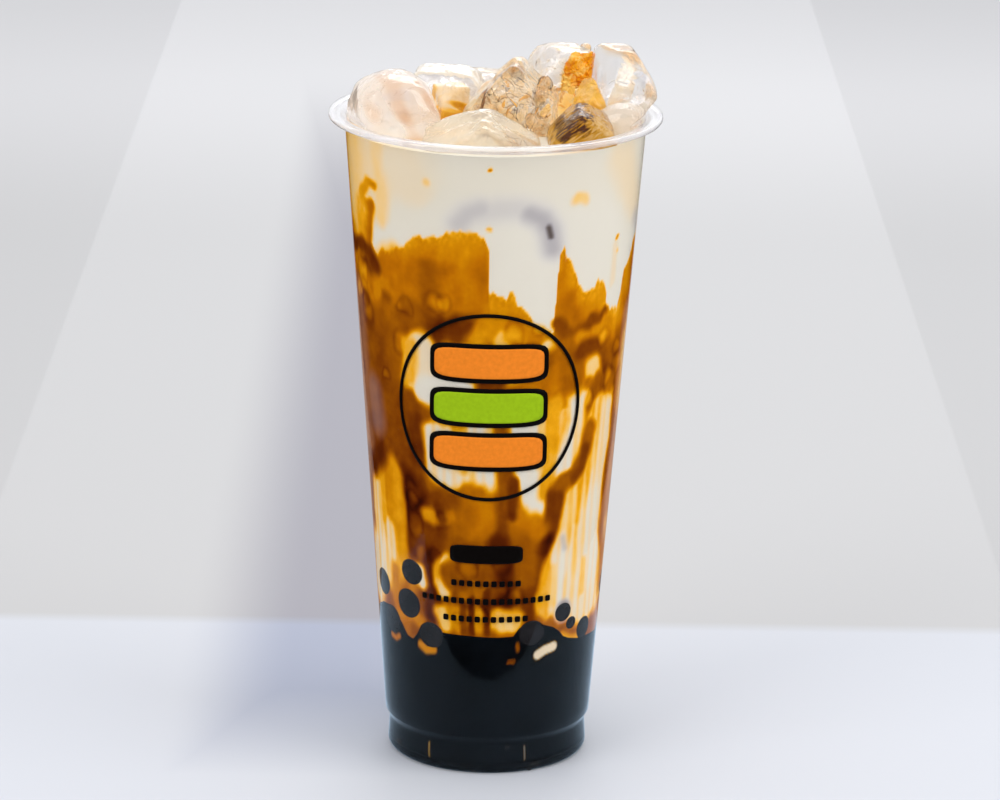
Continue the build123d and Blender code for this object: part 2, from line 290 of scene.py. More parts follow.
# Streaks in the order they are laid: amount of syrup, half width and softness, then the path.
STREAKS = (
    # tints in the cream above the syrup
    (0.50, 2.6, 7.5, (-86, 176), (-82, 150)),
    (0.19, 3, 5, (-73, 172), (-70, 156)),
    (0.17, 0.8, 2.2, (-50.5, 178), (-50, 166), (-51, 156)),
    (0.09, 2, 3, (-42, 172), (-32, 166)),
    (0.42, 0.6, 1.3, (-55.5, 165), (-59, 164.5), (-64.5, 161), (-63, 158.3), (-58.5, 158.6)),
    (0.56, 1.3, 1.8, (-59.5, 157.5), (-61, 153), (-63, 147)),
    (0.32, 1.0, 3.5, (-67, 157), (-69, 150)),
    (0.20, 0.6, 1.2, (34, 164), (37, 163.3)),
    (0.10, 1.5, 5, (58, 173), (66, 164), (74, 158)),
    (0.50, 0.2, 0.7, (59.3, 151)),
    (0.42, 0.1, 0.7, (58.4, 147.6), (60, 147.2)),
    (0.10, 0.3, 1.2, (58.4, 149), (58.4, 138)),
    (0.55, 0.2, 0.5, (-2, 173.6)),
    (0.35, 0.2, 0.7, (-2, 156.5)),
    (0.20, 0.2, 0.9, (-27, 168.6)),
    # the big amber curtain on the left
    (0.62, 1.0, 3.5, (-30, 144), (-28.5, 139)),
    (0.50, 1.5, 6, (-44, 143), (-58, 138), (-44, 136)),
    (0.80, 0.7, 2.2, (-88, 144), (-76, 145.5), (-66, 146.5), (-61, 145), (-57, 142)),
    (0.74, 1.0, 3.0, (-64, 141), (-62, 136), (-58, 132)),
    (0.46, 1.2, 2.6, (-67, 138), (-66, 134), (-62, 131)),
    (0.44, 1.0, 2.4, (-57, 136), (-54.5, 131)),
    (0.76, 0.6, 1.8, (-69, 132), (-63, 129), (-56, 126.5), (-52, 129), (-50, 134)),
    (0.52, 3, 6, (-60, 124), (-44, 127), (-36, 124)),
    (0.69, 6, 10, (-66, 118), (-60, 100), (-46, 98)),
    (0.62, 2, 6, (-74, 118), (-76, 106)),
    (0.64, 2.0, 4, (-38, 130), (-32, 130.5)),
    (0.80, 2.2, 3.2, (-21, 127.4), (-12, 128.2)),
    (0.70, 1.0, 3.0, (-17, 123.5), (-12, 124)),
    # inside the printed ring
    (0.10, 2.6, 2.2, (-32.5, 122), (-31, 113)),
    (0.10, 1.6, 2.0, (-35, 118), (-36, 113)),
    (0.30, 1.0, 2.0, (-37, 122), (-38, 113)),
    (0.10, 2.4, 2.4, (-19, 119.5), (-10, 120)),
    (0.04, 2.6, 2.0, (-27, 110.5), (-14, 111.5)),
    (0.32, 1.2, 2.4, (-7, 122), (-5, 117), (-3, 113)),
    (0.10, 1.6, 1.5, (-29.5, 98), (-28, 92), (-24.5, 87.5), (-19, 85), (-14, 87)),
    (0.10, 2.8, 2.0, (-25, 98), (-21, 93), (-16, 92)),
    (0.78, 0.8, 2.4, (-36.5, 101), (-35, 90)),
    (0.30, 0.8, 2.0, (-14, 99), (-12, 90)),
    (0.11, 1.8, 2.0, (-7, 108), (-5, 97), (-3, 88)),
    (0.05, 2.0, 1.6, (1, 92), (3, 85)),
    (0.66, 1.4, 2.2, (8, 108), (7.5, 96), (9, 86)),
    (0.74, 2.0, 2.0, (-1, 113), (2, 120), (8, 123.5), (15, 123), (21, 120.5), (24, 121)),
    (0.62, 2.0, 2.0, (7, 117.5), (14, 118.5)),
    (0.34, 0.5, 1.2, (6, 117.5), (8, 114.5), (13, 115)),
    (0.16, 0.25, 0.9, (14.5, 117), (17.5, 116.2), (20, 116.8)),
    (0.24, 1.0, 1.8, (3.5, 126.5), (4.5, 124.5)),
    (0.06, 0.5, 1.0, (23, 124.4), (26, 123.6)),
    (0.44, 1.2, 2.5, (10, 128), (18, 127)),
    (0.40, 1.0, 2.4, (-3, 130), (-7, 126)),
    (0.05, 2.4, 1.8, (14.5, 104), (15, 96), (17, 90), (20.5, 84), (21.3, 78.6)),
    (0.06, 2.0, 1.8, (19, 103), (20, 94), (23.5, 87)),
    (0.20, 0.4, 1.0, (22.5, 104), (23.3, 90)),
    (0.34, 1.7, 1.8, (29, 107), (28.6, 96), (28, 87), (27, 82)),
    (0.10, 0.3, 0.8, (33.4, 104), (33.8, 92)),
    (0.32, 0.6, 1.2, (35.2, 104), (34.5, 94)),
    (0.09, 2.6, 1.8, (43, 108), (44.5, 101), (40.5, 94), (37.5, 88.5)),
    # right of the ring
    (0.70, 0.6, 1.6, (28, 130), (32, 127.4), (36, 125.4), (41, 127), (46, 129), (54, 130.6)),
    (0.38, 1.0, 2.0, (40, 124.6), (46, 123.6), (50, 124.6)),
    (0.42, 1.4, 3.0, (56, 126), (60, 122)),
    (0.56, 2.0, 4.0, (32, 121), (38, 114)),
    (0.60, 2.0, 4.0, (60, 118), (66, 110), (72, 120)),
    (0.72, 1.0, 2.2, (41, 120.5), (45, 122), (50, 121), (54, 118), (56, 112)),
    (0.20, 1.6, 1.6, (49.5, 116), (50, 113)),
    (0.50, 0.6, 1.6, (47, 112), (51, 109.6), (54, 112)),
    (0.62, 1.4, 2.2, (54, 110), (51, 104), (50, 97)),
    # the pale pour on the right
    (0.14, 6.5, 3.5, (63, 97), (62, 86), (62, 58)),
    (0.16, 5.0, 3.0, (55, 92), (52, 84), (48, 70), (40, 60), (36, 52), (50, 50)),
    (0.14, 5.0, 3.0, (64, 60), (58, 48), (70, 50)),
    (0.24, 1.2, 2.0, (55, 104), (53, 96), (52.5, 88)),
    (0.27, 0.6, 1.4, (46.5, 87), (47, 78), (46.5, 72)),
    (0.30, 0.5, 1.3, (51.5, 86), (51.8, 76)),
    (0.24, 0.6, 1.5, (36, 80), (36.5, 72)),
    (0.07, 1.2, 2.5, (40, 62), (38, 52)),
    (0.10, 2.0, 4.0, (59, 76), (61, 56)),
    (0.30, 0.6, 1.4, (28, 63), (26.8, 56), (27.5, 48)),
    (0.24, 0.4, 1.2, (33, 60), (34, 49)),
    (0.26, 0.4, 1.2, (54.5, 60), (55, 50)),
    (0.10, 1.0, 2.0, (45, 55), (46, 47)),
    (0.60, 0.5, 1.3, (33, 43.4), (36, 42.8)),
    (0.34, 0.6, 1.4, (43, 38.6), (53, 36.6)),
    (0.52, 2.0, 4.0, (82, 98), (80, 84), (78, 66)),
    (0.62, 0.8, 2.6, (73, 108), (74, 92), (71, 84), (71, 66), (78, 58), (88, 54)),
    (0.50, 3.0, 4.0, (84, 82), (82, 52)),
    (0.36, 1.0, 3.0, (80, 67), (86, 62)),
    (0.28, 2.0, 5.0, (84, 118), (84, 104)),
    # the brown river that runs down and round to the left
    (0.60, 1.4, 1.8, (50.5, 98), (48, 91), (43.5, 86), (37, 84.4), (33, 81.5)),
    (0.72, 0.5, 1.4, (49, 93), (46.5, 87.5), (42, 85)),
    (0.74, 1.6, 2.0, (32.6, 79.5), (30.5, 72), (27, 66.5), (22.5, 61.5), (20.5, 54)),
    (0.95, 0.9, 1.8, (28.6, 68.5), (26, 65.2)),
    (0.76, 1.0, 1.6, (22, 60), (20, 54), (20.5, 46)),
    # below the ring
    (0.90, 1.0, 3.0, (-41, 76), (-39.5, 67)),
    (0.60, 2.0, 4.0, (-23, 52), (-18, 45)),
    (0.50, 2.0, 4.0, (-10, 80), (-6, 74), (0, 79)),
    (0.60, 2.0, 5.0, (16, 70), (15, 60)),
    (0.50, 1.2, 3.0, (13, 76), (24, 72)),
    (0.68, 0.7, 1.8, (5.5, 93), (5.6, 80), (6, 68)),
    (0.80, 0.5, 1.5, (10.5, 86), (10.5, 76)),
    (0.86, 1.6, 2.6, (4, 68), (6, 60), (8, 52)),
    (0.56, 1.2, 3.0, (-12, 78), (-14, 68)),
    (0.70, 1.0, 3.0, (-20, 80), (-30, 80), (-36, 76)),
    (0.93, 2.6, 3.6, (-40, 76), (-38.5, 72)),
    (0.90, 2.0, 4.0, (-42, 83), (-41, 67)),
    (0.74, 2.4, 5.0, (-34, 66), (-30, 70)),
    (0.38, 1.0, 1.8, (-31, 75), (-28, 74.6)),
    (0.48, 0.6, 1.4, (-22.6, 75.6), (-19.5, 75)),
    (0.80, 0.6, 1.4, (-25.5, 77.5), (-23, 74.5)),
    (0.88, 1.4, 2.2, (-29, 62), (-28.6, 54), (-29, 46)),
    (0.16, 0.5, 1.4, (-21, 63), (-25.5, 60), (-26, 56), (-23, 53)),
    (0.62, 1.4, 2.6, (-20.5, 58.5), (-14, 58)),
    (0.66, 1.6, 3.6, (-14, 66), (-4, 60)),
    (0.22, 1.0, 1.6, (-25, 47.5), (-22, 44)),
    (0.40, 1.0, 2.0, (-17, 47.5), (-16, 43.6)),
    (0.36, 1.4, 2.2, (-8, 47), (-4, 45)),
    (0.30, 1.6, 2.0, (3, 46), (8, 45.5), (14, 46)),
    (0.22, 0.6, 1.4, (8, 43.4), (13, 43.8)),
    (0.82, 0.3, 1.1, (-9, 52), (-8.5, 42)),
    (0.80, 0.3, 1.1, (-1, 54), (-1, 42)),
    (0.70, 0.3, 1.1, (-13, 50), (-12.6, 42)),
    # the olive and cream pour low on the left
    (0.16, 4.5, 3.5, (-64, 82), (-70, 74), (-69, 62), (-60, 58)),
    (0.24, 3.0, 3.0, (-56, 74), (-56, 60)),
    (0.42, 2.6, 2.6, (-54, 85), (-53, 78), (-52, 72)),
    (0.38, 1.0, 2.2, (-49, 84), (-48, 70), (-47.5, 60)),
    (0.32, 0.6, 1.6, (-63, 84), (-62, 70)),
    (0.30, 0.4, 1.2, (-58, 70), (-58.5, 60)),
    (0.12, 0.6, 1.6, (-57, 68), (-56, 58)),
    (0.46, 1.0, 2.0, (-54, 56), (-54, 50), (-52, 44)),
    (0.84, 1.4, 3.4, (-80, 84), (-70, 84.5), (-62, 89)),
    (0.70, 1.0, 2.4, (-79, 84), (-80, 70), (-78, 62)),
    (0.10, 2.0, 4.0, (-72, 60), (-76, 48)),
    (0.50, 0.5, 2.0, (-38, 57), (-42, 52)),
    (0.10, 0.8, 1.4, (-36.6, 58), (-35.4, 55)),
    (0.44, 0.8, 1.8, (-42, 44), (-38, 43)),
)
# Where the syrup has closed round drops of milk, each a pale eye with a dark rim: the angles and
# heights between which they lie, and how many
EYES = (
    (-86, -50, 108, 144, 9), (-46, -10, 122, 140, 4), (-2, 26, 112, 130, 8), (44, 72, 106, 128, 8),
    (-44, -20, 62, 82, 6), (-20, 24, 44, 76, 9), (94, 266, 50, 146, 40),
)
# Grey laid over the milk: ice that has sunk shows through it, and so does the milk round one
# pearl. The last three, near the left and right sides, are painted reflection.
GREYS_AND_SIDE_REFLECTIONS = (
    (0.42, 0.2, 5.5, (-14, 158), (-10, 161), (-5, 162.4)),
    (0.30, 0.4, 6.0, (-6, 161), (2, 162.4), (10, 162.4), (16, 161)),
    (0.55, 0.2, 5.5, (14, 161), (19, 159.5), (22.5, 156), (24, 151)),
    (1.00, 0.1, 2.2, (21.8, 157), (22.9, 154.4)),
    (0.30, 0.4, 4.0, (76, 154), (84, 151)),
    (0.72, 2.0, 2.4, (41.6, 46.6)),
    (0.40, 0.2, 2.0, (38, 68), (39.5, 65)),
    # painted reflection: a mauve-grey sheen of the room where the wall turns away at the left and right
    # sides
    (0.08, 3, 6, (-81, 130), (-80, 92)),
    (0.13, 2, 5, (82, 126), (80, 66)),
    (0.10, 1, 6, (-66, 106), (-64, 98)),
)


def smooth(x):
    """Eases 0 to 1 with no slope at either end: three x squared less two x cubed, held to 0..1."""
    x = np.clip(x, 0, 1)
    return x * x * (3 - 2 * x)


def waves(angle, z, seed, across, up):
    """Soft noise near -1..1: a mean of waves, up to so many round the cup and per 100 mm up it."""
    rng = np.random.default_rng(seed)
    total = np.zeros_like(angle)
    for _ in range(9):
        turns = rng.integers(-across, across + 1)
        rise = 0.0628 * rng.uniform(-up, up)
        total += np.sin(np.radians(angle) * turns + rise * z + rng.uniform(0, 6.28))
    return total / 3.5


def along_wall(angle, z, path):
    """Distance in mm along the wall from every point to a path: the least over its runs, each
    measured to the nearest point between that run's ends."""
    nearest = np.full(angle.shape, 1e9)
    per_degree = 0.6
    for (a0, z0), (a1, z1) in zip(path, path[1:] or path):
        x = ((angle - a0 + 180) % 360 - 180) * per_degree
        dx, dz = (a1 - a0) * per_degree, z1 - z0
        share = np.clip((x * dx + (z - z0) * dz) / max(dx * dx + dz * dz, 1e-9), 0, 1)
        nearest = np.minimum(nearest, np.hypot(x - share * dx, z - z0 - share * dz))
    return nearest


def laid(field, angle, z, amount, half_width, soft, *path):
    """The field with one streak over it: full inside half_width of the path, gone after soft."""
    cover = smooth(1 - (along_wall(angle, z, path) - half_width) / soft)
    return field + cover * (amount - field)


def back_streaks(rng):
    """Streaks for the side away from the print, seeded: pale pours first, then golden runs, winding
    brown veins and dark pools, each swaying as it goes down."""
    streaks = []
    kinds = ((16, (0.06, 0.2), (1.6, 5.0), (24, 60)), (14, (0.28, 0.4), (0.8, 3.0), (14, 40)),
             (16, (0.62, 0.8), (0.4, 1.8), (24, 64)), (9, (0.8, 0.92), (0.6, 2.6), (5, 16)))
    for count, amounts, widths, drops in kinds:
        for _ in range(count):
            angle, z, drop = rng.uniform(96, 264), rng.uniform(56, 143), rng.uniform(*drops)
            drop = min(drop, z - 40)
            sway = np.cumsum(rng.uniform(-4.5, 4.5, 5))
            path = [(angle + sway[k], z - drop * k / 4) for k in range(5)]
            streaks.append((rng.uniform(*amounts), rng.uniform(*widths), rng.uniform(1.6, 4.2), *path))
    return streaks


def syrup_amount(angle, z):
    """How much syrup lies at the wall, 0 for plain milk to 1 for the darkest brown: under the
    upper edge it is a curtain that darkens downwards, and the streaks are laid over that."""
    angle = angle + 0.5 * waves(angle, z, 3, 44, 9)
    z = z + 0.5 * waves(angle, z, 9, 50, 9)
    edge = np.interp(angle, *np.array(SYRUP_EDGE).T) + 0.45 * waves(angle, z, 4, 150, 4)
    depth = edge - z
    body = 0.40 + 0.10 * smooth(depth / 11) + 0.07 * smooth((128 - z) / 20)
    body += 0.05 * waves(angle, z, 5, 18, 4) + 0.03 * waves(angle, z, 6, 40, 9)
    body += 0.06 * smooth((62 - z) / 14)
    body -= 0.08 * np.exp(-np.maximum(depth, 0) / 1.8) * np.clip(waves(angle, z, 8, 170, 60), -0.4, 1)
    tinted = smooth((-angle - 10) / 40) * smooth((z - 150) / 20)
    cream = 0.035 + 0.02 * smooth((z - 158) / 12) + 0.06 * tinted
    field = cream + smooth(depth / 1.2 + 0.8) * (body - cream)
    rng = np.random.default_rng(11)
    for amount, half_width, soft, *path in (*STREAKS, *back_streaks(rng)):
        wider = 1.7 if amount < 0.25 else 1.35
        field = laid(field, angle, z, amount, half_width, soft * wider, *path)
    for left, right, low, high, count in EYES:
        for _ in range(count):
            middle = ((rng.uniform(left, right), rng.uniform(low, high)),)
            far = along_wall(angle, z, middle) / rng.uniform(1.0, 2.8)
            far = far * (1 + 0.3 * waves(angle, z, rng.integers(99), 40, 9))
            ripple = np.exp(-((far - 1.2) / 0.4) ** 2) - 1.2 * np.exp(-far ** 2)
            field = field + 0.08 * ripple * smooth((field - 0.3) / 0.15)
    pale_run = smooth((field - 0.04) / 0.06) * smooth((0.34 - field) / 0.1) * smooth((118 - z) / 12)
    field = field + 0.09 * pale_run * (0.1 + np.clip(waves(angle, z, 31, 80, 0.5), -0.5, 1))
    return np.clip(field, 0, 1)


# Colour of the layer at the wall for each amount of syrup in it
SYRUP_COLOURS = (
    (0.00, (228, 224, 214)), (0.06, (227, 219, 202)), (0.13, (238, 211, 168)),
    (0.22, (246, 200, 108)), (0.32, (240, 170, 22)), (0.40, (217, 143, 4)), (0.50, (194, 114, 2)),
    (0.60, (162, 90, 3)), (0.71, (128, 62, 4)), (0.82, (98, 38, 2)), (0.92, (70, 21, 2)),
    (1.00, (46, 12, 3)),
)


def new_group(name, inputs, outputs):
    """A node group whose sockets are given as name and kind. With it come its input node's outputs,
    its output node's inputs, and a function that adds nodes to it."""
    group = bpy.data.node_groups.new(name, "ShaderNodeTree")
    for sockets, side in ((inputs, "INPUT"), (outputs, "OUTPUT")):
        for socket, kind in sockets.items():
            group.interface.new_socket(socket, in_out=side, socket_type="NodeSocket" + kind)
    given = group.nodes.new("NodeGroupInput").outputs
    result = group.nodes.new("NodeGroupOutput").inputs
    return group, given, result, partial(node_in, group)


def maths(add, operation, *values, **settings):
    """What one operation makes of one, two or three values."""
    sockets = dict(enumerate(values))
    return add("ShaderNodeMath", sockets, operation=operation, **settings).outputs[0]


def mixed(add, share, first, second):
    """The colour that lies a share of the way from the first to the second."""
    node = add("ShaderNodeMix", {"Factor": share, 6: first, 7: second}, data_type="RGBA")
    return node.outputs[2]


def colour_ramp(add, share, stops):
    """The colour at a share along a ramp, whose stops are (share, colour as seen)."""
    node = add("ShaderNodeValToRGB", {"Fac": share})
    ramp = node.color_ramp
    for place, colour in stops[1:-1]:
        ramp.elements.new(place).color = linear(colour)
    ramp.elements[0].position, ramp.elements[0].color = stops[0][0], linear(stops[0][1])
    ramp.elements[-1].position, ramp.elements[-1].color = stops[-1][0], linear(stops[-1][1])
    return node.outputs["Color"]


def own(add, name):
    """What a point of the mesh keeps under that name."""
    return add("ShaderNodeAttribute", attribute_name=name).outputs["Fac"]


# Fine runs down the wall and a finer grain shift the amount of syrup, more where there is more of it
RUNS_SHARE = 0.35
syrup_colour, given, result, add = new_group(
    "syrup_colour", {"Amount": "Float", "Streaks": "Float"}, {"Color": "Color"}
)
tall = add("ShaderNodeMapping", {"Vector": own_place(add), "Scale": (1, 1, 0.07)})
runs = noise(add, 300.0, 2.0, place=tall.outputs[0])
both = maths(add, "MULTIPLY_ADD", runs, RUNS_SHARE, noise(add, 190.0, 4.0))
centred = maths(add, "SUBTRACT", both, (1 + RUNS_SHARE) / 2)
strength = maths(add, "MULTIPLY", ranged(add, given["Amount"], 0.08, 0.4), given["Streaks"])
shifted = maths(add, "MULTIPLY_ADD", centred, strength, given["Amount"])
join(colour_ramp(add, shifted, SYRUP_COLOURS), result["Color"])

marbled, shader, add = new_material("marbled_milk", {"Roughness": 0.5, "IOR": 1.08})
# The shade attribute greys the milk: sunk ice, and near the sides a painted reflection
shade = own(add, "shade")
look = add("ShaderNodeGroup", {"Amount": own(add, "syrup"), "Streaks": 0.24}, node_tree=syrup_colour)
grey = colour_ramp(add, shade, ((0.0, (205, 202, 208)), (0.6, (168, 162, 166)), (1.0, (60, 40, 38))))
cover = ranged(add, shade, high=0.6, to_high=0.9)
join(mixed(add, cover, look.outputs["Color"], grey), shader.inputs["Base Color"])

MILK_Z = 176.7
DRINK_FROM = 30.0
# The milk reaches a little into the wall, so that no air shows between, and climbs it by the meniscus.
INTO_WALL = 0.2
MENISCUS = 0.9
columns = np.concatenate([np.arange(-93, 93, 0.5), np.arange(93, 267, 2.0)])
rows = np.linspace(DRINK_FROM, MILK_Z, 202)
angle, z = np.meshgrid(columns, rows)
side = turned(space_inside(rows) + INTO_WALL, rows, columns)
inward = 1 - 0.98 * np.linspace(0, 1, 12)[1:] ** 1.8
top_r = (space_inside(MILK_Z) + INTO_WALL) * inward
climb = MENISCUS * np.exp(-(1 - inward) * 26)
top = turned(top_r, MILK_Z - MENISCUS + climb, columns)
low_r = (space_inside(DRINK_FROM) + INTO_WALL) * np.array([0.1, 0.6, 0.97])
low = turned(low_r, [DRINK_FROM] * 3, columns)
syrup_side = syrup_amount(angle, z)
grey_and_reflection_side = np.zeros_like(angle)
for streak in GREYS_AND_SIDE_REFLECTIONS:
    over = laid(np.zeros_like(angle), angle, z, *streak)
    grey_and_reflection_side = np.maximum(grey_and_reflection_side, over)
grey_and_reflection_side = np.clip(grey_and_reflection_side, 0, 1) * (1 - smooth((syrup_side - 0.14) / 0.1) * (np.abs(angle) < 30))
top_angle, top_share = np.meshgrid(columns, inward)
syrup_top = 0.07 + 0.05 * waves(top_angle, 60 * top_share, 21, 5, 4)
syrup_top = np.clip(syrup_top, 0, 1)
piece(
    "drink_look", [np.concatenate([low, side, top])], [marbled], "milk_tea", ["drink"], crease=50,
    syrup=[np.concatenate([np.full(low.shape[:2], 0.5), syrup_side, syrup_top])],
    shade=[np.concatenate([np.zeros(low.shape[:2]), grey_and_reflection_side, 0 * syrup_top])],
)

# ---------------------------------------------------------------------------------------------
# The tapioca pearls: black, chewy and glossy. Most lie packed at the bottom in dark syrup, the top
# of the bed is as uneven as the pearls are, and a few drift in the milk against the wall.
BED_EDGE = (
    (-180, 40), (-168, 43), (-158, 39.4), (-147, 42.6), (-136, 39.8), (-124, 43), (-113, 39.6),
    (-102, 42.4), (-90, 40), (-84, 40.6), (-78, 42.2), (-70, 44), (-63, 44.3), (-56, 43),
    (-51, 40.8), (-47, 37.8), (-43, 37.2), (-40, 39), (-37, 42), (-33, 43.4), (-29, 43.2),
    (-26, 41.8), (-24, 41), (-10, 40.9), (5, 40.6), (13, 40.8), (16, 43), (20, 44.6), (25, 44.6),
    (30, 43.2), (36, 42), (40, 40.4), (43, 38.6), (47, 37.6), (54, 36.6), (66, 36), (78, 35.2),
    (88, 38), (98, 42), (108, 39.5), (120, 42.5), (131, 39.6), (142, 43), (153, 40), (166, 42.4),
    (180, 40),
)
# Slits between the pearls of the bed, where what is behind shows, and two painted highlights on the
# foot: amount of syrup, half width and softness, then the path. A half width below 0 makes it fainter.
SLITS_AND_FOOT_HIGHLIGHTS = (
    (0.45, 0.7, 0.9, (-37.5, 36.4), (-34, 35.2), (-29.6, 35.7)),
    (0.52, 0.3, 0.9, (-61, 36), (-57, 35.6), (-54, 36.6)),
    (0.10, 1.0, 0.7, (27, 34.8), (31, 35.9), (36.5, 36.5)),
    (0.66, 0.2, 0.7, (15.4, 38.4), (15.8, 37)),
    (0.72, 0.2, 0.6, (11, 33.4), (13.6, 33.5)),
    # painted highlights: two faint pale streaks on the foot, below the step
    (0.24, -0.42, 0.9, (-35.6, 7.4), (-35.2, 3.2)),
    (0.04, -0.42, 0.8, (22.6, 7.4), (22.8, 3.9)),
)
# From here on round the back, the bed's edge is a row of humps
BACK_FROM = 96.0
PEARL_RADIUS = 4.5
PEARL_INTO_WALL = 0.42
BED_INTO_WALL = 0.33
# Node, angle, height, and radius of the flat that the wall presses on it
LOOSE_PEARLS = (
    ("pearl_01", -42, 57.2, 3.5), ("pearl_02", -45.2, 47.6, 4.1), ("pearl_03", -68, 50.6, 3.6),
    ("pearl_04", 41.7, 46.2, 2.4), ("pearl_05", 86, 48.9, 3.4), ("pearl_06", 120, 50.5, 3.6),
    ("pearl_07", 153, 53.0, 2.8), ("pearl_08", 178, 48.5, 3.8), ("pearl_09", 207, 57.4, 3.4),
    ("pearl_10", 240, 50.0, 3.6),
)

tapioca, shader, add = new_material("tapioca", {"Roughness": 0.2, "IOR": 1.25})
dark = colour_ramp(add, noise(add, 180.0, 4.0), ((0.34, (5, 4, 5)), (0.75, (30, 27, 30))))
join(dark, shader.inputs["Base Color"])

packed, shader, add = new_material("packed_tapioca", {"Roughness": 0.4, "IOR": 1.08})
look = add("ShaderNodeGroup", {"Amount": own(add, "syrup"), "Streaks": 0.1}, node_tree=syrup_colour)
# Near black tinted blue-grey: the pearls and syrup are black, the blue-grey is a painted reflection of
# the floor
dark = colour_ramp(add, noise(add, 90.0, 3.0), ((0.3, (3, 5, 7)), (0.8, (11, 15, 20))))
# The syrup colour shows in the slits and in the painted highlights on the foot
join(mixed(add, own(add, "slit"), dark, look.outputs["Color"]), shader.inputs["Base Color"])

edge = np.interp(columns, *np.array(BED_EDGE).T)
edge = np.where(columns > 180, np.interp(columns - 360, *np.array(BED_EDGE).T), edge)
around = np.radians(columns)
humps = 41.4 + 2.2 * np.abs(np.sin(7.5 * around)) + 0.8 * np.sin(11 * around)
behind = smooth((columns - BACK_FROM) / 8)
edge = humps * behind + edge * (1 - behind)
share = np.linspace(0, 1, 62)[:, None]
BED_FROM = 2.6
bed_z = BED_FROM + share * (edge[None, :] - BED_FROM)
bed_angle = np.broadcast_to(columns, bed_z.shape)
bed_r = space_inside(bed_z) + BED_INTO_WALL
bed_side = np.stack([bed_r * np.sin(around), -bed_r * np.cos(around), bed_z], -1)
rim = bed_side[-1]
bed_top = np.stack([rim * [k, k, 1] + [0, 0, 0.6] for k in (0.985, 0.96, 0.9, 0.5, 0.1)])
low_r = [2, 12, 22.6, 23.4, 24.0, 25.4, 26.4, 26.9]
bed_low = turned(low_r, [1.7, 1.7, 1.7, 1.5, 0.5, 0.35, 0.8, 1.7], columns)
slit_side = np.zeros(bed_z.shape)
syrup_bed = np.full(bed_z.shape, 0.5)
for amount, *streak in SLITS_AND_FOOT_HIGHLIGHTS:
    over = laid(np.zeros(bed_z.shape), bed_angle, bed_z, 1, *streak)
    slit_side = np.maximum(slit_side, over)
    syrup_bed = np.where(over > 0, amount, syrup_bed)


def ball_ways(lean, step):
    """Unit vectors over a ball: rows at the given leans from +Z, columns at each step round it."""
    lean = np.radians(lean)
    spin = np.radians(np.arange(0, 360, step))
    return np.stack([
        np.outer(np.sin(lean), np.cos(spin)), np.outer(np.sin(lean), np.sin(spin)),
        np.outer(np.cos(lean), np.ones_like(spin)),
    ], -1)


def pearl_at_wall(angle, z, patch):
    """A pearl pressed flat where it meets the wall: a sphere whose points are held inside the wall,
    with its middle so far in that the flat is a disc of the given radius."""
    ball = PEARL_RADIUS * ball_ways(np.linspace(4, 176, 28), 10)
    wall = space_inside(z) + PEARL_INTO_WALL
    middle = wall - math.sqrt(PEARL_RADIUS ** 2 - patch ** 2)
    a = math.radians(angle)
    outward = np.array([math.sin(a), -math.cos(a), 0])
    points = ball + middle * outward + [0, 0, z]
    reach = np.hypot(points[..., 0], points[..., 1])
    limit = space_inside(points[..., 2]) + PEARL_INTO_WALL
    points[..., :2] *= np.minimum(1, limit / reach)[..., None]
    return points


piece(
    "pearl_bed_look", [np.concatenate([bed_low, bed_side, bed_top])], [packed], "tapioca",
    ["pearl_bed"], crease=50,
    slit=[np.concatenate([0 * bed_low[..., 0], slit_side, 0 * bed_top[..., 0]])],
    syrup=[np.concatenate([0 * bed_low[..., 0], syrup_bed, 0 * bed_top[..., 0]])],
)
for node, pearl_angle, pearl_z, patch in LOOSE_PEARLS:
    piece(f"{node}_look", [pearl_at_wall(pearl_angle, pearl_z, patch)], [tapioca], "tapioca", [node])
TOP_PEARLS = (
    (59.5, 39.4, 2.9), (48, 42.4, 1.2), (-60, 41, 3.8), (-31, 40, 3.6), (23, 41.6, 3.6),
)
piece("bed_pearls", [pearl_at_wall(*pearl) for pearl in TOP_PEARLS], [tapioca], "tapioca")

